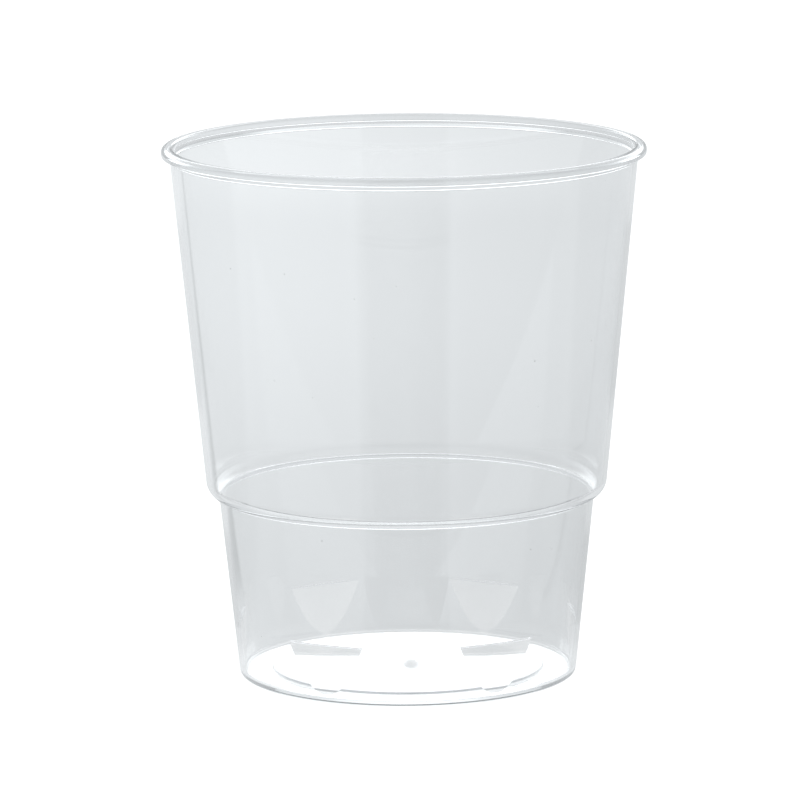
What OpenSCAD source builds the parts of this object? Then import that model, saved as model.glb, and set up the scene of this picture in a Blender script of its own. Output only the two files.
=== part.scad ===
// Clear injection-moulded plastic tumbler cup: one moulding with a beaded rim, a rounded
// shoulder, a raised floor panel over a recess, and six stacking lugs inside the lower wall.
// Millimetres, +Z up, origin at the centre of the foot on the table.

/* [Overall] */
// Height from the table to the top of the rim
cup_h = 86.4; // [76:0.2:110]
// Diameter over the rim bead
rim_d = 78; // [74:0.2:90]

/* [Wall] */
// Radial thickness of the side wall
wall_t = 0.75; // [0.6:0.05:1.2]
// Outer diameter of the upper wall at its lower end, carried down to the shoulder
shoulder_d = 64.6; // [62:0.2:70]
// How far the wall steps in under the shoulder
shoulder_step = 1.9; // [1.4:0.05:3]
// Outer diameter of the lower wall, carried down to the table
foot_d = 54.6; // [48:0.2:58]

/* [Rim bead] */
// How far the bead stands out from the upper wall
bead_out = 1.4; // [0.8:0.05:2]
// Height of the bead, from its underside at the wall to the top
bead_h = 2.1; // [1.8:0.05:3.5]
// Rise of the bead's sloping underside from the wall to its outer edge
bead_slope_h = 0.8; // [0.3:0.05:1]
// Rounding of the bead's outer top edge
bead_round = 0.8; // [0.3:0.05:0.9]
// Rounding of the bead's outer lower edge
bead_lower_round = 0.3; // [0.1:0.05:0.5]
// Rounding of the inner lip
lip_round = 0.45; // [0.2:0.05:0.6]
// Hollow rounding between the bead's underside and the wall
bead_hollow_round = 0.3; // [0.1:0.05:0.6]

/* [Shoulder] */
// Height of the inward corner under the shoulder
shoulder_z = 29.5; // [24:0.1:36]
// Rise of the shoulder's underside from that corner to the upper wall
shoulder_rise = 0.6; // [0.2:0.05:1.4]
// Rounding of the shoulder's outer edge
shoulder_round = 2.5; // [1.5:0.1:3]
// Hollow rounding of the corner under the shoulder
waist_round = 0.2; // [0.1:0.05:0.5]
// Rounding of the inside edge where the ledge turns down into the lower wall
ledge_round = 0.5; // [0.2:0.05:0.8]

/* [Foot] */
// Thickness of the floor, in the foot ring and in the raised panel
floor_t = 0.95; // [0.7:0.05:1.6]
// Rounding of the foot's outer edge
foot_round = 0.8; // [0.4:0.05:1.4]
// Rounding inside, where the floor meets the wall
floor_round = 0.6; // [0.3:0.05:1.2]
// How far the middle panel of the floor stands up, over a recess of the same depth
panel_rise = 0.5; // [0.4:0.05:1]
// Diameter of the raised panel, inside the cup
panel_d = 44; // [36:0.5:47]
// How far the raised panel reaches past the recess below it
panel_lap = 0.6; // [0.3:0.05:1]
// Rounding of the edges of the panel and the recess
panel_round = 0.15; // [0.05:0.05:0.2]

/* [Gate mark] */
// Diameter of the gate pad at the centre of the recess
gate_pad_d = 3.6; // [3:0.1:6]
// Height of the gate pad
gate_pad_h = 0.12; // [0.06:0.02:0.2]
// Diameter of the broken gate on that pad
gate_d = 1.5; // [1:0.1:2.4]
// Height of the broken gate on that pad
gate_h = 0.2; // [0.1:0.02:0.25]

/* [Stacking lugs] */
// Number of lugs
lug_count = 6; // [3:1:8]
// Height of the lugs' ledges above the table
lug_z = 9.6; // [6:0.2:16]
// How far a ledge's straight edge stands in from the wall
lug_reach = 0.8; // [0.4:0.05:1.2]
// Lean of the lugs' flat faces from upright
lug_draft = 0.5; // [0.3:0.1:3]
// Turn of the first lug round the cup from +X
lug_turn = 0; // [0:5:60]

/* [Hidden] */

// Straight steps in each rounded corner of an outline
corner_steps = 8;
// Steps round the full turn
turn_steps = 180;
// Steps round the small gate
gate_steps = 48;
// Overshoot of the cutting forms past the faces they cut
over = 1;
// How much of the room beside it a rounding may fill
room = 0.98;
// How many steps longer the ends of the lip's rounding run
run_on = 5;

rim_r = rim_d / 2;
mouth_r = rim_r - bead_out;
shoulder_r = shoulder_d / 2;
waist_r = shoulder_r - shoulder_step;
foot_r = foot_d / 2;
panel_r = panel_d / 2;
recess_r = panel_r - panel_lap;
bead_z = cup_h - bead_h;
shoulder_top_z = shoulder_z + shoulder_rise;
panel_z = floor_t + panel_rise;

// Radius at height z of the straight line through two [radius, height] points
function line_r(low, high, z) =
    low[0] + (high[0] - low[0]) * (z - low[1]) / (high[1] - low[1]);

// Inside radius of the lower and of the upper wall: the outside line, one wall further in
function inner_low_r(z) = line_r([foot_r, 0], [waist_r, shoulder_z], z) - wall_t;
function inner_up_r(z) = line_r([shoulder_r, shoulder_top_z], [mouth_r, bead_z], z) - wall_t;

lip_r = inner_up_r(cup_h);
ledge_z = shoulder_z + wall_t;
ledge_top_z = shoulder_top_z + wall_t;
// The inside of the shoulder keeps the wall's thickness round the bend
ledge_outer_round = max(shoulder_round - wall_t, waist_round);

// A corner of an outline is [radius, height, rounding]
function place(corner) = [corner[0], corner[1]];
function toward(a, b) = (b - a) / norm(b - a);
function half_angle(a, b, c) = acos(toward(b, a) * toward(b, c)) / 2;

// How far a rounding of radius r runs along each side of corner b
function run(a, b, c, r) = r / tan(half_angle(a, b, c));

// The points of corner b, between a and c, rounded to radius r
function rounded(a, b, c, r) =
    let (
        half = half_angle(a, b, c),
        middle = toward(b, a) + toward(b, c),
        centre = b + middle / norm(middle) * r / sin(half),
        from = b + toward(b, a) * run(a, b, c, r) - centre,
        to = b + toward(b, c) * run(a, b, c, r) - centre,
        turn = 180 - 2 * half
    )
    [for (i = [0:corner_steps])
        let (s = i / corner_steps)
        centre + (sin((1 - s) * turn) * from + sin(s * turn) * to) / sin(turn)];

// A closed outline as plain points. Two roundings that meet on one side share its length.
function outline(corners) =
    let (
        n = len(corners),
        p = [for (corner = corners) place(corner)],
        runs = [for (i = [0:n - 1])
            corners[i][2] > 0
                ? run(p[(i + n - 1) % n], p[i], p[(i + 1) % n], corners[i][2])
                : 0],
        shares = [for (i = [0:n - 1])
            let (next = (i + 1) % n, both = runs[i] + runs[next])
            both > 0 ? min(1, room * norm(p[next] - p[i]) / both) : 1]
    )
    [for (i = [0:n - 1])
        let (before = (i + n - 1) % n, r = corners[i][2] * min(shares[before], shares[i]))
        for (point = r > 0 ? rounded(p[before], p[i], p[(i + 1) % n], r) : [p[i]]) point];

// The outside: foot, lower wall, shoulder, upper wall and rim bead
outside = [
    [0, 0, 0],
    [foot_r, 0, foot_round],
    [waist_r, shoulder_z, waist_round],
    [shoulder_r, shoulder_top_z, shoulder_round],
    [mouth_r, bead_z, bead_hollow_round],
    [rim_r, bead_z + bead_slope_h, bead_lower_round],
    [rim_r, cup_h, bead_round],
    [0, cup_h, 0]
];

// The space inside: raised panel, foot ring, lower wall, ledge and upper wall
inside = [
    [0, panel_z, 0],
    [panel_r, panel_z, panel_round],
    [panel_r, floor_t, panel_round],
    [inner_low_r(floor_t), floor_t, floor_round],
    [inner_low_r(ledge_z), ledge_z, ledge_round],
    [inner_up_r(ledge_top_z), ledge_top_z, ledge_outer_round],
    [inner_up_r(cup_h + over), cup_h + over, 0],
    [0, cup_h + over, 0]
];

// The recess under the panel
recess = [
    [0, -over, 0],
    [recess_r, -over, 0],
    [recess_r, panel_rise, panel_round],
    [0, panel_rise, 0]
];

module turned(corners) {
    rotate_extrude($fn = turn_steps) polygon(outline(corners));
}

// One lug's block: its flat leans outward with height and its ledge is level
module lug_block() {
    ledge_r = inner_low_r(lug_z) - lug_reach;
    root_r = ledge_r - lug_z * tan(lug_draft);
    rotate([90, 0, 0])
        linear_extrude(height = foot_d, center = true)
            polygon([[root_r, 0], [foot_r + over, 0], [foot_r + over, lug_z], [ledge_r, lug_z]]);
}

// The lugs, each at its place round the cup
module lugs() {
    for (i = [0:lug_count - 1])
        rotate([0, 0, lug_turn + i * 360 / lug_count]) lug_block();
}

// What rounds off the inner edge of the lip, tangent to the wall and to the top. Its first and
// last steps run on, so that they cross those faces.
module lip_cutter() {
    arc = rounded([inner_up_r(bead_z), bead_z], [lip_r, cup_h], [rim_r, cup_h], lip_round);
    low = arc[0] + run_on * (arc[0] - arc[1]);
    high = arc[corner_steps] + run_on * (arc[corner_steps] - arc[corner_steps - 1]);
    side = [for (i = [1:corner_steps - 1]) arc[i]];
    rotate_extrude($fn = turn_steps)
        polygon(concat([[lip_r - over, low[1]], low], side,
            [high, [high[0], cup_h + over], [lip_r - over, cup_h + over]]));
}

// The space that holds the drink, with the lugs left standing in it
module cavity() {
    difference() {
        turned(inside);
        lugs();
    }
    lip_cutter();
}

// The recess under the floor, with the gate mark left standing in it
module foot_recess() {
    difference() {
        turned(recess);
        translate([0, 0, panel_rise - gate_pad_h])
            cylinder(h = gate_pad_h + over, d = gate_pad_d, $fn = gate_steps);
        translate([0, 0, panel_rise - gate_pad_h - gate_h])
            cylinder(h = gate_h + over, d = gate_d, $fn = gate_steps);
    }
}

module tumbler() {
    color([0.90, 0.93, 0.94, 0.35])
        difference() {
            turned(outside);
            cavity();
            foot_recess();
        }
}

tumbler();
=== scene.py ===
"""A clear plastic tumbler cup on a pale floor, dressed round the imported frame."""
import math

import bpy
from mathutils import Matrix, Vector


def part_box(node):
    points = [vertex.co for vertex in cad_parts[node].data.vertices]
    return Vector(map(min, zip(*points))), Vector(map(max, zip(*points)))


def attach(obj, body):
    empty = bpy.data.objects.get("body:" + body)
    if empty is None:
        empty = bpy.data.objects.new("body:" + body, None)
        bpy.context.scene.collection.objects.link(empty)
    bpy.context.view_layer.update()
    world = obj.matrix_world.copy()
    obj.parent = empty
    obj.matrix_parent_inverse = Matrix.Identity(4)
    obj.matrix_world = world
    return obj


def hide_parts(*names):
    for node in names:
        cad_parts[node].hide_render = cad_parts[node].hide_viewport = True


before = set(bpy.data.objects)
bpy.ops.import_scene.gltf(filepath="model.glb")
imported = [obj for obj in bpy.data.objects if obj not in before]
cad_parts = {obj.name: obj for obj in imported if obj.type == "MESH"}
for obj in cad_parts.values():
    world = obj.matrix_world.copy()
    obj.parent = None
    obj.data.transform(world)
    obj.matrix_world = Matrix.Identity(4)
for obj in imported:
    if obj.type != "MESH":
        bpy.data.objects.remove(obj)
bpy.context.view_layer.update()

MM = 0.001

# Sizes of the moulding in millimetres, as in the part's source
LOW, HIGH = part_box("tumbler")
CUP_H = HIGH[2] / MM
RIM_R = (HIGH[0] - LOW[0]) / 2 / MM
WALL_T = 0.75
SHOULDER_R = 32.3
SHOULDER_STEP = 1.9
SHOULDER_RISE = 0.6
SHOULDER_Z = 29.5
SHOULDER_TOP_Z = SHOULDER_Z + SHOULDER_RISE
WAIST_R = SHOULDER_R - SHOULDER_STEP
FOOT_R = 27.3
BEAD_OUT = 1.4
BEAD_H = 2.1
BEAD_SLOPE_H = 0.8
MOUTH_R = RIM_R - BEAD_OUT
BEAD_Z = CUP_H - BEAD_H
FLOOR_T = 0.95
PANEL_RISE = 0.5
PANEL_R = 22
PANEL_LAP = 0.6
RECESS_R = PANEL_R - PANEL_LAP
GATE_PAD_R = 1.8
GATE_PAD_H = 0.12
GATE_PAD_Z = PANEL_RISE - GATE_PAD_H
GATE_R = 0.75
GATE_H = 0.2
GATE_Z = GATE_PAD_Z - GATE_H
LUG_COUNT = 6
LUG_Z = 9.6
LUG_REACH = 0.8
LUG_DRAFT = math.radians(0.5)

# Roundings in millimetres
BEAD_ROUND = 0.8
BEAD_LOWER_ROUND = 0.3
LIP_ROUND = 0.45
HOLLOW_ROUND = 0.3
SHOULDER_ROUND = 2.5
LEDGE_ROUND = 0.5
WAIST_ROUND = 0.2
FOOT_ROUND = 0.8
FLOOR_ROUND = 0.6
PANEL_ROUND = 0.15
EDGE_ROUND = 0.05
LUG_EDGE_ROUND = 0.14

# Distance of the extra points that keep the smooth shading of the arcs off the flats
SUPPORT = 0.02

# Fineness of the mesh
ARC_STEP = math.radians(7)
FEWEST_ARC_STEPS = 3
LUG_COLUMNS = 20
WALL_COLUMNS = 28
LEDGE_ROWS = 16
LEDGE_ARC_STEPS = 6
LUG_ROWS = 8
NARROWEST_LUG = math.radians(1.5)

# A flat's last ring before its centre has its radius divided by this
INNER_PART = 3

# Less than this doesn't count along a ledge, in millimetres
TINY = 1e-9

# The camera: its distance from the aim point, its tilt and roll, and the picture's frame
CAMERA_DISTANCE = 0.9619
CAMERA_AIM_Z = 0.0429
CAMERA_TILT = math.radians(10.36)
CAMERA_ROLL = math.radians(-0.474)
CAMERA_TURN = math.radians(-1.1)
CAMERA_CLIP = 0.01
PICTURE = 800
FOCAL_PX = 5943.7
CENTRE_PX = (405.97, 410.85)
SENSOR_MM = 36

# The overhead lamp: metres and watts
LAMP_PLACE = (0.1, 0.1, 0.9)
LAMP_AIM = (0, 0, 0.04)
LAMP_SIZE = 0.5
LAMP_POWER = 4

WHITE = (1, 1, 1, 1)
# The faint blue of the studio's light
STUDIO_TINT = (0.948, 0.981, 1, 1)

# The mesh attribute that marks the lugs' flat faces, which are less polished; there the plastic
# shows a faint painted glow
LUG_GLOW_MASK = "lug_glow_mask"

# The steps below are (from, to, level before, level after). Those of the plastic and the floor
# run over metres and those of the world over a direction's X, Y or Z, where nothing else is said.

# The clear plastic
PLASTIC_IOR = 1.59
ABSORB_COLOUR = (0.842, 0.85, 0.856, 1)
ABSORB_DENSITY = 300
WAVE_STRETCH = (1, 1, 0.3)
WAVE_SCALE = 110
WAVE_DETAIL = 1
WAVE_DEPTH = 0.000006
# A painted glow laid over the plastic: its level, its share on the lugs' flats, and its share at
# the foot's edge, fading out up the lowest millimetre, which lightens the foot's outline
PAINTED_GLOW_LEVEL = 1.15
LUG_GLOW_SHARE = 0.13
FOOT_EDGE_GLOW = (0.0003, 0.0008, 0.12, 0)

# The gate mark's ragged patch, drawn out from front to back, and the specks, whose step runs
# over the distances of their noise
GATE_STRETCH = (1, 0.35, 0)
GATE_SHIFT = (-0.0005, 0.0006, 0)
GATE_NOISE_SCALE = 1500
GATE_RAGGED = 0.0012
GATE_EDGE = (0.0012, 0.0026, 0.46, 0)
SPECK_SCALE = 150
SPECK_EDGE = (0.014, 0.022, 1, 0)
BLEMISH_ROUGHNESS = 0.5
BLEMISH_SHARE = 0.6
BLEMISH_COLOUR = (0.6, 0.6, 0.6, 1)

# The painted glow that stands in for trapped light: shown above this many reflections, with a base
# level, and with steps by height or, for the floor panel, by distance from the axis
TRAPPED_AFTER = 2.5
GLOW_COLOUR = (0.965, 0.985, 1, 1)
GLOW_BASE = 0.62
LEVEL_PLANE = (1, 1, 0)
GLOW_PANEL = (0.0235, 0.025, 0.8, 0)
GLOW_FLOOR_TOP = (0.0014, 0.0024, 1, 0)
GLOW_LUG_TOP = (0.0082, 0.0098, 0.35, 0)
GLOW_LUG_FOOT = (0.0014, 0.0024, 0, 1)
GLOW_UNDER_SHOULDER = (0.0215, 0.026, 0, 0.36)
GLOW_BEND = (0.03, 0.033, 0, 0.06)
GLOW_SHOULDER_TOP = (0.041, 0.048, 1, 0)
GLOW_RIM = (0.072, 0.077, 0, 0.35)
GLOW_RIM_TOP = (0.0815, 0.084, 1, 0.7)

# The studio round the cup, by the turn of a direction in radians: dark in front, with a faint
# stripe in it
RIGHT_SIDE = (0.33, 0.38, 0, 1)
LEFT_SIDE = (-0.46, -0.36, 1, 0)
MIDDLE_STRIPE = (0.02, 0.16, 0.2, 0)

# The world's levels. The first step runs over the studio's light, from 0 to 1.
STUDIO_LEVELS = (0, 1, 0.615, 0.875)
BEHIND = (0.3, 0.8, 0, 1)
LOW_BEHIND_DIM = (0.1, 0.17, 0.4, 0)
DARK_BAND = (0.35, 0.55, 0, 0.4)
DARK_BAND_ASIDE = (0.2, 0.45, 1, 0.55)
OVERHEAD = (0.72, 0.84, 0, 0.5)
PANEL_FOOT = (0.12, 0.19, 0, 1)
PANEL_TOP = (0.3, 0.45, 1, 0.2)
PANEL_STRENGTH = 1.7

# The floor: half its size and its place, a hair under the foot, so that the two faces don't
# share a plane
FLOOR_HALF = 6
FLOOR_Z = -0.00003

# The floor's white for the camera, whose paint takes the cup's shadow
FLOOR_WHITE = 0.9
FLOOR_PAINT = (0.25, 0.25, 0.25, 1)

# The floor's grey for the plastic: by distance from the axis, across, behind and in front. The
# last step runs over how dark the studio is there, from 0 to 1.
FLOOR_OUTWARD = (0.045, 0.4, 0.782, 0.902)
FLOOR_FAR_RISE = (0.48, 0.58, 0, 0.065)
FLOOR_ACROSS = (-0.06, 0.08, 1.02, 0.87)
FLOOR_FAR_BEHIND = (0.55, 1.4, 1, 0.62)
FLOOR_AHEAD = (0, 0.02, 1, 0)
FLOOR_OUTSIDE = (0.03, 0.05, 0, 1)
FLOOR_FRONT_LEVELS = (0, 1, 1.22, 0.85)

# The lighter floor under the foot, most of it in front
UNDER_FOOT = (0.0266, 0.028, 1, 0)
UNDER_FOOT_BACK = (-0.021, -0.015, 1, 0.2)

# A darker strip of the floor that slants away on the left
STRIP_X = 0.8
STRIP_Y = 0.6
STRIP_NEAR_EDGE = (-0.035, -0.033, 0, 1)
STRIP_FAR_EDGE = (-0.033, -0.005, 1, 0)
STRIP_ON_LEFT = (-0.05, -0.045, 1, 0)
STRIP_OUTWARD = (0.055, 0.09, 0, 0.45)


def line_r(low, high, z):
    """Radius at height z of the straight line through two (radius, height) points."""
    return low[0] + (high[0] - low[0]) * (z - low[1]) / (high[1] - low[1])


def inner_low_r(z):
    """Inside radius of the lower wall."""
    return line_r((FOOT_R, 0), (WAIST_R, SHOULDER_Z), z) - WALL_T


def inner_up_r(z):
    """Inside radius of the upper wall."""
    return line_r((SHOULDER_R, SHOULDER_TOP_Z), (MOUTH_R, BEAD_Z), z) - WALL_T


def lug_flat(z):
    """Distance of a lug's flat face from the cup's axis."""
    return inner_low_r(LUG_Z) - LUG_REACH - (LUG_Z - z) * math.tan(LUG_DRAFT)


def rounded(a, b, c, radius):
    """Points of corner b, between a and c, rounded to a radius."""
    to_a, to_c = (a - b).normalized(), (c - b).normalized()
    half = to_a.angle(to_c) / 2
    centre = b + (to_a + to_c).normalized() * radius / math.sin(half)
    start = b + to_a * radius / math.tan(half) - centre
    end = b + to_c * radius / math.tan(half) - centre
    turn = math.pi - 2 * half
    steps = max(FEWEST_ARC_STEPS, math.ceil(turn / ARC_STEP))
    points = []
    for i in range(steps + 1):
        s = i / steps
        arm = math.sin((1 - s) * turn) * start + math.sin(s * turn) * end
        points.append(centre + arm / math.sin(turn))
    return points


def outline(corners):
    """An open chain of (radius, height, rounding) corners as plain points.

    Close by both ends of each arc there is one more point.
    """
    spots = [Vector(corner[:2]) for corner in corners]
    points = [spots[0]]
    for i in range(1, len(corners) - 1):
        before, spot, after = spots[i - 1:i + 2]
        rounding = corners[i][2]
        arc = rounded(before, spot, after, rounding) if rounding else [spot]
        for other, end in ((before, arc[0]), (after, arc[-1])):
            support = end + (other - end).normalized() * SUPPORT
            arc.insert(0 if other is before else len(arc), support)
        points += arc
    return points + [spots[-1]]


def skin_outline():
    """From the gate mark out under the foot, up the outside, over the rim and down to the lugs."""
    ledge_z, ledge_top_z = SHOULDER_Z + WALL_T, SHOULDER_TOP_Z + WALL_T
    lug_top = LUG_Z + LUG_EDGE_ROUND
    return outline([
        (GATE_R / INNER_PART, GATE_Z, 0),
        (GATE_R, GATE_Z, EDGE_ROUND),
        (GATE_R, GATE_PAD_Z, EDGE_ROUND),
        (GATE_PAD_R, GATE_PAD_Z, EDGE_ROUND),
        (GATE_PAD_R, PANEL_RISE, EDGE_ROUND),
        (RECESS_R, PANEL_RISE, PANEL_ROUND),
        (RECESS_R, 0, EDGE_ROUND),
        (FOOT_R, 0, FOOT_ROUND),
        (WAIST_R, SHOULDER_Z, WAIST_ROUND),
        (SHOULDER_R, SHOULDER_TOP_Z, SHOULDER_ROUND),
        (MOUTH_R, BEAD_Z, HOLLOW_ROUND),
        (RIM_R, BEAD_Z + BEAD_SLOPE_H, BEAD_LOWER_ROUND),
        (RIM_R, CUP_H, BEAD_ROUND),
        (inner_up_r(CUP_H), CUP_H, LIP_ROUND),
        (inner_up_r(ledge_top_z), ledge_top_z, SHOULDER_ROUND - WALL_T),
        (inner_low_r(ledge_z), ledge_z, LEDGE_ROUND),
        (inner_low_r(lug_top + SUPPORT), lug_top + SUPPORT, 0),
        (inner_low_r(lug_top), lug_top, 0),
    ])


def floor_outline():
    """From the lower wall across the floor ring and the raised panel, towards the centre."""
    start_z = FLOOR_T + 2 * FLOOR_ROUND
    return outline([
        (inner_low_r(start_z), start_z, 0),
        (inner_low_r(FLOOR_T), FLOOR_T, FLOOR_ROUND),
        (PANEL_R, FLOOR_T, PANEL_ROUND),
        (PANEL_R, FLOOR_T + PANEL_RISE, PANEL_ROUND),
        (PANEL_R / INNER_PART, FLOOR_T + PANEL_RISE, 0),
    ])


def column_turns(half):
    """(middle of the lug, turn from it) of all the columns round the cup.

    Half is the half width of a lug, as an angle.
    """
    pitch = 2 * math.pi / LUG_COUNT
    turns = []
    for lug in range(LUG_COUNT):
        middle = lug * pitch
        for i in range(LUG_COLUMNS):
            turns.append((middle, half * (2 * i / LUG_COLUMNS - 1)))
        for i in range(WALL_COLUMNS):
            turns.append((middle, half + (pitch - 2 * half) * i / WALL_COLUMNS))
    return turns


def plain_ring(radius, z, half):
    """A round ring of points, with columns gathered on the lugs."""
    return [(radius * math.cos(middle + turn), radius * math.sin(middle + turn), z)
            for middle, turn in column_turns(half)]


def lug_half(radius, z):
    """Half the angle that a lug takes up of a wall of this radius."""
    return max(NARROWEST_LUG, math.acos(min(1, lug_flat(z) / radius)))


def lugged_ring(radius, z):
    """A ring of points that follows the wall and, at the lugs, their flat faces."""
    ring = []
    for middle, turn in column_turns(lug_half(radius, z)):
        near_lug = abs(turn) < math.pi / LUG_COUNT
        r = min(radius, lug_flat(z) / math.cos(turn)) if near_lug else radius
        ring.append((r * math.cos(middle + turn), r * math.sin(middle + turn), z))
    return ring


def ledge_path(depth):
    """(step inwards, height) points down a ledge of this depth, evenly spaced along it."""
    r = min(LUG_EDGE_ROUND, depth / 2)
    quarter = [math.pi / 2 * i / LEDGE_ARC_STEPS for i in range(LEDGE_ARC_STEPS + 1)]
    path = [Vector((0, LUG_EDGE_ROUND))]
    path += [Vector((r - r * math.cos(t), r - r * math.sin(t))) for t in quarter]
    path += [Vector((depth - r + r * math.sin(t), r * math.cos(t) - r)) for t in quarter]
    path.append(Vector((depth, -LUG_EDGE_ROUND)))
    reach = [0]
    for a, b in zip(path, path[1:]):
        reach.append(reach[-1] + (b - a).length)
    last = len(reach) - 1
    points = []
    for row in range(LEDGE_ROWS + 1):
        want = reach[-1] * row / LEDGE_ROWS
        i = next(n for n in range(1, len(reach)) if reach[n] >= want - TINY or n == last)
        span = reach[i] - reach[i - 1]
        points.append(path[i - 1].lerp(path[i], (want - reach[i - 1]) / span if span else 0))
    return points


def ledge_rings():
    """Rings over the lugs' ledges: the wall runs straight on between the lugs."""
    wall_r, flat = inner_low_r(LUG_Z), lug_flat(LUG_Z)
    half = lug_half(wall_r, LUG_Z)
    columns = []
    for middle, turn in column_turns(half):
        depth = max(0, wall_r - flat / math.cos(turn)) if abs(turn) < half else 0
        column = []
        for inward, dz in ledge_path(depth):
            z = LUG_Z + dz
            share = inward / depth if depth else 0
            r = inner_low_r(z)
            if share:
                r += share * (lug_flat(z) / math.cos(turn) - r)
            column.append((r * math.cos(middle + turn), r * math.sin(middle + turn), z))
        columns.append(column)
    return [list(ring) for ring in zip(*columns)]


def cup_rings():
    """All rings of the cup, from the gate mark round to the middle of the floor.

    With them come the number of the first ring that shows lugs and the one after the last.
    """
    half = lug_half(inner_low_r(LUG_Z), LUG_Z)
    rings = [plain_ring(p.x, p.y, half) for p in skin_outline()[:-1]]
    first_lugged = len(rings)
    rings += ledge_rings()
    floor = floor_outline()
    top, bottom = LUG_Z - LUG_EDGE_ROUND, floor[0].y
    heights = [top - SUPPORT]
    heights += [top + (bottom - top) * row / LUG_ROWS for row in range(1, LUG_ROWS)]
    rings += [lugged_ring(inner_low_r(z), z) for z in heights]
    for p in floor:
        if p.x > lug_flat(FLOOR_T) - LUG_REACH:
            rings.append(lugged_ring(p.x, p.y))
            last_lugged = len(rings)
        else:
            rings.append(plain_ring(p.x, p.y, half))
    return rings, first_lugged, last_lugged


def cup_mesh():
    """The whole cup as one closed mesh, in metres, with the lugs' sides as sharp edges."""
    rings, first_lugged, last_lugged = cup_rings()
    columns = len(rings[0])
    verts = [(0, 0, GATE_Z)] + [spot for ring in rings for spot in ring]
    verts.append((0, 0, FLOOR_T + PANEL_RISE))

    def at(row, column):
        return 1 + row * columns + column % columns

    faces = [(0, at(0, c + 1), at(0, c)) for c in range(columns)]
    for row in range(len(rings) - 1):
        faces += [(at(row, c), at(row, c + 1), at(row + 1, c + 1), at(row + 1, c))
                  for c in range(columns)]
    last = len(rings) - 1
    faces += [(at(last, c), at(last, c + 1), len(verts) - 1) for c in range(columns)]

    mesh = bpy.data.meshes.new("tumbler_skin")
    mesh.from_pydata([Vector(v) * MM for v in verts], [], faces)
    mesh.polygons.foreach_set("use_smooth", [True] * len(mesh.polygons))
    sides = set()
    for lug in range(LUG_COUNT):
        start = lug * (LUG_COLUMNS + WALL_COLUMNS)
        for row in range(first_lugged, last_lugged - 1):
            for side in (start, start + LUG_COLUMNS):
                sides.add(frozenset((at(row, side), at(row + 1, side))))
    sharp = mesh.attributes.new("sharp_edge", "BOOLEAN", "EDGE")
    sharp.data.foreach_set("value", [frozenset(edge.vertices) in sides for edge in mesh.edges])
    # Faces of the lugs' flats, where the plastic paints a faint glow
    lug_glow = mesh.attributes.new(LUG_GLOW_MASK, "FLOAT", "FACE")
    on_lugs = [0.0] * len(mesh.polygons)
    for row in range(first_lugged + LEDGE_ROWS, last_lugged - 1):
        for lug in range(LUG_COUNT):
            start = columns * (row + 1) + lug * (LUG_COLUMNS + WALL_COLUMNS)
            for column in range(LUG_COLUMNS):
                on_lugs[start + column] = 1.0
    lug_glow.data.foreach_set("value", on_lugs)
    mesh.update()
    return mesh


class Looks:
    """The nodes of a material or of the world, with short ways to add and join them."""

    def __init__(self, owner):
        owner.use_nodes = True
        self.nodes = owner.node_tree.nodes
        self.links = owner.node_tree.links

    def feed(self, node, inputs):
        """Set or link a node's inputs, which are given by name or number."""
        for key, value in inputs.items():
            if isinstance(value, bpy.types.NodeSocket):
                self.links.new(value, node.inputs[key])
            else:
                node.inputs[key].default_value = value

    def add(self, kind, inputs):
        """A new node of a kind, with its inputs set or linked."""
        node = self.nodes.new("ShaderNode" + kind)
        self.feed(node, inputs)
        return node

    def maths(self, operation, *values):
        """A maths node over sockets or numbers."""
        node = self.nodes.new("ShaderNodeMath")
        node.operation = operation
        self.feed(node, dict(enumerate(values)))
        return node.outputs["Value"]

    def vector(self, operation, *values):
        """The outputs of a vector maths node over sockets or vectors."""
        node = self.nodes.new("ShaderNodeVectorMath")
        node.operation = operation
        self.feed(node, dict(enumerate(values)))
        return node.outputs

    def times(self, first, *others):
        """All the values multiplied together."""
        for other in others:
            first = self.maths("MULTIPLY", first, other)
        return first

    def plus(self, first, *others):
        """All the values added up."""
        for other in others:
            first = self.maths("ADD", first, other)
        return first

    def without(self, share):
        """What a share leaves of 1."""
        return self.maths("SUBTRACT", 1, share)

    def step(self, value, span):
        """A smooth step over a value: span is (from, to, level before, level after)."""
        low, high, before, after = span
        node = self.nodes.new("ShaderNodeMapRange")
        node.interpolation_type = "SMOOTHSTEP"
        self.feed(node, {
            "Value": value,
            "From Min": low,
            "From Max": high,
            "To Min": before,
            "To Max": after,
        })
        return node.outputs["Result"]

    def axes(self, vector):
        """The X, Y and Z of a vector."""
        return self.add("SeparateXYZ", {"Vector": vector}).outputs

    def mix(self, share, first, second):
        """The second shader laid over the first, by a share."""
        return self.add("MixShader", {"Fac": share, 1: first, 2: second}).outputs["Shader"]


def surface_blemishes(looks, place):
    """A mask of the broken gate at the centre and of a few specks in the walls."""
    flat = looks.vector("MULTIPLY_ADD", place, GATE_STRETCH, GATE_SHIFT)["Vector"]
    radius = looks.vector("LENGTH", flat)["Value"]
    noise = looks.add("TexNoise", {"Scale": GATE_NOISE_SCALE, "Vector": place})
    edge = looks.plus(radius, looks.times(noise.outputs["Fac"], GATE_RAGGED))
    cells = looks.add("TexVoronoi", {"Scale": SPECK_SCALE, "Vector": place})
    specks = looks.step(cells.outputs["Distance"], SPECK_EDGE)
    return looks.maths("MAXIMUM", looks.step(edge, GATE_EDGE), specks)


def moulding_waves(looks, place):
    """The faint unevenness of the moulded walls, drawn out along their height."""
    stretched = looks.add("Mapping", {"Scale": WAVE_STRETCH, "Vector": place}).outputs["Vector"]
    waves = looks.add("TexNoise", {"Scale": WAVE_SCALE, "Detail": WAVE_DETAIL, "Vector": stretched})
    bump = looks.add("Bump", {"Distance": WAVE_DEPTH, "Height": waves.outputs["Fac"]})
    return bump.outputs["Normal"]


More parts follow.
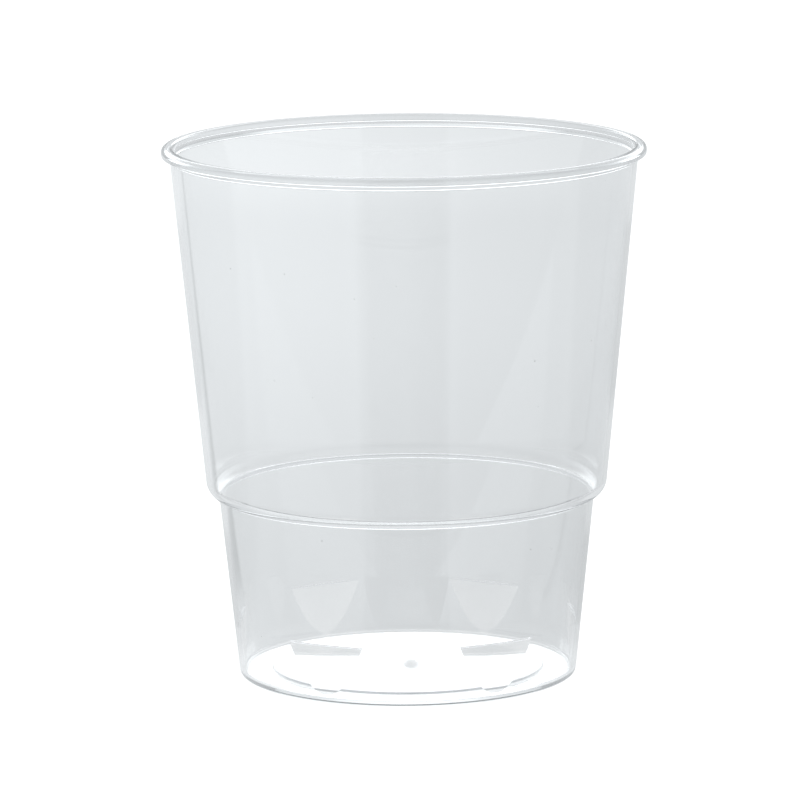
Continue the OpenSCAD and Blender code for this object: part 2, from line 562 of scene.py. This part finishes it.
def trapped_light(looks, place, height):
    """A painted glow for light caught inside: most in the floor, then the shoulder, rim and lugs.
    """
    flat = looks.vector("MULTIPLY", place, LEVEL_PLANE)["Vector"]
    radius = looks.vector("LENGTH", flat)["Value"]
    panel = looks.times(looks.step(radius, GLOW_PANEL), looks.step(height, GLOW_FLOOR_TOP))
    lugs = looks.times(looks.step(height, GLOW_LUG_TOP), looks.step(height, GLOW_LUG_FOOT))
    shoulder = looks.plus(looks.step(height, GLOW_UNDER_SHOULDER), looks.step(height, GLOW_BEND))
    shoulder = looks.times(shoulder, looks.step(height, GLOW_SHOULDER_TOP))
    rim = looks.times(looks.step(height, GLOW_RIM), looks.step(height, GLOW_RIM_TOP))
    level = looks.plus(GLOW_BASE, panel, lugs, shoulder, rim)
    return looks.add("Emission", {"Color": GLOW_COLOUR, "Strength": level}).outputs["Emission"]


def clear_plastic():
    """Clear polystyrene: polished and faintly uneven, with a painted glow on the lugs' flats and at
    the foot's edge.

    Where a ray has been mirrored inside it often enough, it shows a painted glow for the trapped
    light.
    """
    material = bpy.data.materials.new("clear_plastic")
    looks = Looks(material)
    place = looks.add("TexCoord", {}).outputs["Object"]
    height = looks.axes(place)["Z"]
    blemishes = surface_blemishes(looks, place)
    shader = looks.nodes["Principled BSDF"]
    looks.feed(shader, {
        "Base Color": WHITE,
        "Transmission Weight": 1,
        "IOR": PLASTIC_IOR,
        "Roughness": looks.times(blemishes, BLEMISH_ROUGHNESS),
        "Normal": moulding_waves(looks, place),
    })
    paint = looks.add("BsdfDiffuse", {"Color": BLEMISH_COLOUR}).outputs["BSDF"]
    marked = looks.mix(looks.times(blemishes, BLEMISH_SHARE), shader.outputs["BSDF"], paint)
    # A painted glow, faint on the lugs' flats and at the foot's edge
    lug_glow_mask = looks.nodes.new("ShaderNodeAttribute")
    lug_glow_mask.attribute_name = LUG_GLOW_MASK
    lug_glow = looks.times(lug_glow_mask.outputs["Fac"], LUG_GLOW_SHARE)
    painted_glow_share = looks.maths("MAXIMUM", lug_glow, looks.step(height, FOOT_EDGE_GLOW))
    painted_glow = looks.add("Emission", {"Strength": PAINTED_GLOW_LEVEL}).outputs["Emission"]
    surface = looks.mix(painted_glow_share, marked, painted_glow)
    # Past a few reflections inside, the surface shows the painted glow in place of the plastic
    reflections = looks.add("LightPath", {}).outputs["Glossy Depth"]
    trapped = looks.maths("GREATER_THAN", reflections, TRAPPED_AFTER)
    absorb = looks.add("VolumeAbsorption", {"Color": ABSORB_COLOUR, "Density": ABSORB_DENSITY})
    looks.feed(looks.nodes["Material Output"], {
        "Surface": looks.mix(trapped, surface, trapped_light(looks, place, height)),
        "Volume": absorb.outputs["Volume"],
    })
    material.cycles.emission_sampling = "NONE"
    return material


def build_cup():
    """The clear cup that stands for the CAD node."""
    cup = bpy.data.objects.new("tumbler_skin", cup_mesh())
    bpy.context.scene.collection.objects.link(cup)
    cup.data.materials.append(clear_plastic())
    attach(cup, "root")
    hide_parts("tumbler")


def studio_light(looks, axes):
    """How light the studio is, from 0 to 1, in the direction or at the place with these axes."""
    turn = looks.maths("ARCTAN2", axes["X"], looks.times(axes["Y"], -1))
    sides = looks.plus(looks.step(turn, RIGHT_SIDE), looks.step(turn, LEFT_SIDE))
    stripe = looks.step(looks.maths("ABSOLUTE", turn), MIDDLE_STRIPE)
    return looks.maths("MAXIMUM", sides, stripe)


def build_world():
    """White to the camera; to the plastic a grey studio, with a bright panel low behind."""
    world = bpy.data.worlds.new("studio")
    bpy.context.scene.world = world
    looks = Looks(world)
    axes = looks.axes(looks.add("TexCoord", {}).outputs["Generated"])
    x, y, z = axes["X"], axes["Y"], axes["Z"]
    round_cup = looks.step(studio_light(looks, axes), STUDIO_LEVELS)
    behind = looks.step(y, BEHIND)
    low_behind = looks.without(looks.times(behind, looks.step(z, LOW_BEHIND_DIM)))
    aside = looks.step(looks.maths("ABSOLUTE", x), DARK_BAND_ASIDE)
    dark_band = looks.without(looks.times(looks.step(z, DARK_BAND), aside))
    level = looks.times(round_cup, low_behind, dark_band)
    panel = looks.times(behind, looks.step(z, PANEL_FOOT), looks.step(z, PANEL_TOP), PANEL_STRENGTH)
    studio = looks.nodes["Background"]
    strength = looks.plus(level, looks.step(z, OVERHEAD), panel)
    looks.feed(studio, {"Color": STUDIO_TINT, "Strength": strength})
    white = looks.add("Background", {"Color": WHITE})
    seen = looks.add("LightPath", {}).outputs["Is Camera Ray"]
    whole = looks.mix(seen, studio.outputs["Background"], white.outputs["Background"])
    looks.feed(looks.nodes["World Output"], {"Surface": whole})


def floor_level(looks, place):
    """How light the plastic sees the floor."""
    axes = looks.axes(place)
    x, y = axes["X"], axes["Y"]
    reach = looks.vector("LENGTH", place)["Value"]
    outward = looks.plus(looks.step(reach, FLOOR_OUTWARD), looks.step(reach, FLOOR_FAR_RISE))
    dark = looks.times(looks.step(reach, FLOOR_OUTSIDE), looks.without(studio_light(looks, axes)))
    change = looks.plus(looks.step(dark, FLOOR_FRONT_LEVELS), -1)
    front = looks.plus(1, looks.times(looks.step(y, FLOOR_AHEAD), change))
    slant = looks.plus(looks.times(x, STRIP_X), looks.times(y, STRIP_Y))
    strip = looks.times(
        looks.step(slant, STRIP_NEAR_EDGE),
        looks.step(slant, STRIP_FAR_EDGE),
        looks.step(reach, STRIP_OUTWARD),
        looks.step(x, STRIP_ON_LEFT),
    )
    under = looks.times(looks.step(reach, UNDER_FOOT), looks.step(y, UNDER_FOOT_BACK))
    return looks.times(
        outward,
        looks.step(x, FLOOR_ACROSS),
        front,
        looks.step(y, FLOOR_FAR_BEHIND),
        looks.without(strip),
        looks.plus(1, under),
    )


def floor_material():
    """White with the cup's shadow to the camera, and grey to the plastic."""
    material = bpy.data.materials.new("floor")
    looks = Looks(material)
    looks.nodes.remove(looks.nodes["Principled BSDF"])
    place = looks.add("TexCoord", {}).outputs["Object"]
    grey = looks.add("Emission", {"Color": STUDIO_TINT, "Strength": floor_level(looks, place)})
    white = looks.add("Emission", {"Strength": FLOOR_WHITE}).outputs["Emission"]
    paint = looks.add("BsdfDiffuse", {"Color": FLOOR_PAINT}).outputs["BSDF"]
    shadowed = looks.add("AddShader", {0: white, 1: paint}).outputs["Shader"]
    seen = looks.add("LightPath", {}).outputs["Is Camera Ray"]
    whole = looks.mix(seen, grey.outputs["Emission"], shadowed)
    looks.feed(looks.nodes["Material Output"], {"Surface": whole})
    return material


def build_floor():
    """A pale floor that keeps a little of the cup's shadow."""
    mesh = bpy.data.meshes.new("floor")
    low, high = -FLOOR_HALF, FLOOR_HALF
    corners = [(low, low), (high, low), (high, high), (low, high)]
    mesh.from_pydata([(x, y, FLOOR_Z) for x, y in corners], [], [(0, 1, 2, 3)])
    floor = bpy.data.objects.new("floor", mesh)
    bpy.context.scene.collection.objects.link(floor)
    floor.data.materials.append(floor_material())


def build_light():
    """One soft overhead lamp, which doesn't show in the plastic."""
    lamp = bpy.data.lights.new("overhead", "AREA")
    lamp.shape = "RECTANGLE"
    lamp.size = LAMP_SIZE
    lamp.size_y = LAMP_SIZE
    lamp.energy = LAMP_POWER
    holder = bpy.data.objects.new("overhead", lamp)
    holder.visible_glossy = False
    holder.visible_transmission = False
    bpy.context.scene.collection.objects.link(holder)
    direction = Vector(LAMP_AIM) - Vector(LAMP_PLACE)
    holder.location = LAMP_PLACE
    holder.rotation_euler = direction.to_track_quat("-Z", "Y").to_euler()


def build_camera():
    """A long lens a metre away, tilted down as in the photograph."""
    lens = bpy.data.cameras.new("camera")
    lens.sensor_width = SENSOR_MM
    lens.lens = FOCAL_PX / PICTURE * SENSOR_MM
    lens.shift_x = (PICTURE / 2 - CENTRE_PX[0]) / PICTURE
    lens.shift_y = (CENTRE_PX[1] - PICTURE / 2) / PICTURE
    lens.clip_start = CAMERA_CLIP
    camera = bpy.data.objects.new("camera", lens)
    bpy.context.scene.collection.objects.link(camera)
    place = Vector((0, -math.cos(CAMERA_TILT), math.sin(CAMERA_TILT))) * CAMERA_DISTANCE
    place.z += CAMERA_AIM_Z
    tilt = Matrix.Rotation(math.pi / 2 - CAMERA_TILT, 4, "X")
    roll = Matrix.Rotation(CAMERA_ROLL, 4, "Z")
    round_cup = Matrix.Rotation(CAMERA_TURN, 4, "Z")
    camera.matrix_world = round_cup @ Matrix.Translation(place) @ tilt @ roll
    bpy.context.scene.camera = camera


build_camera()
build_world()
build_floor()
build_light()
build_cup()
bpy.context.scene.view_settings.view_transform = "Standard"
